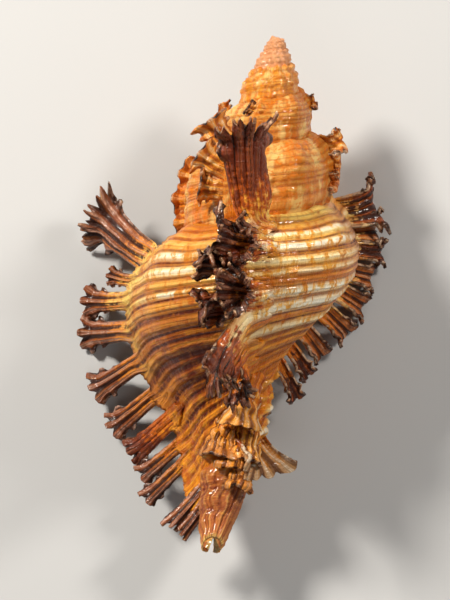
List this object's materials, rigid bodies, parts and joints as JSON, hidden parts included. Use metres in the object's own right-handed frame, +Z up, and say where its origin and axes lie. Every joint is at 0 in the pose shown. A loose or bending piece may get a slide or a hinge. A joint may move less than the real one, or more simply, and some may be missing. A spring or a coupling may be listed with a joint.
{
  "type": "scorched murex shell",
  "caption": "Spiny spindle-shaped sea snail shell with flared ribs, hollow frilled fronds, a stepped spire and a tapering siphonal canal, lying on its aperture side.",
  "frame": {"origin": "centre of the shell's bounding box, on the surface it lies on", "axes": "+Z up, +Y from the tip of the siphonal canal towards the apex of the spire, +X to the right of someone who looks down on the shell's back with the apex away from them"},
  "size_m": [0.0448, 0.0754, 0.0366],
  "materials": {
    "shell": "natural shell: glossy amber and cream ground, dark brown lines between the cords, scorched brown fronds"
  },
  "bodies": {
    "root": {"murex_shell": "shell"}
  },
  "joints": []
}
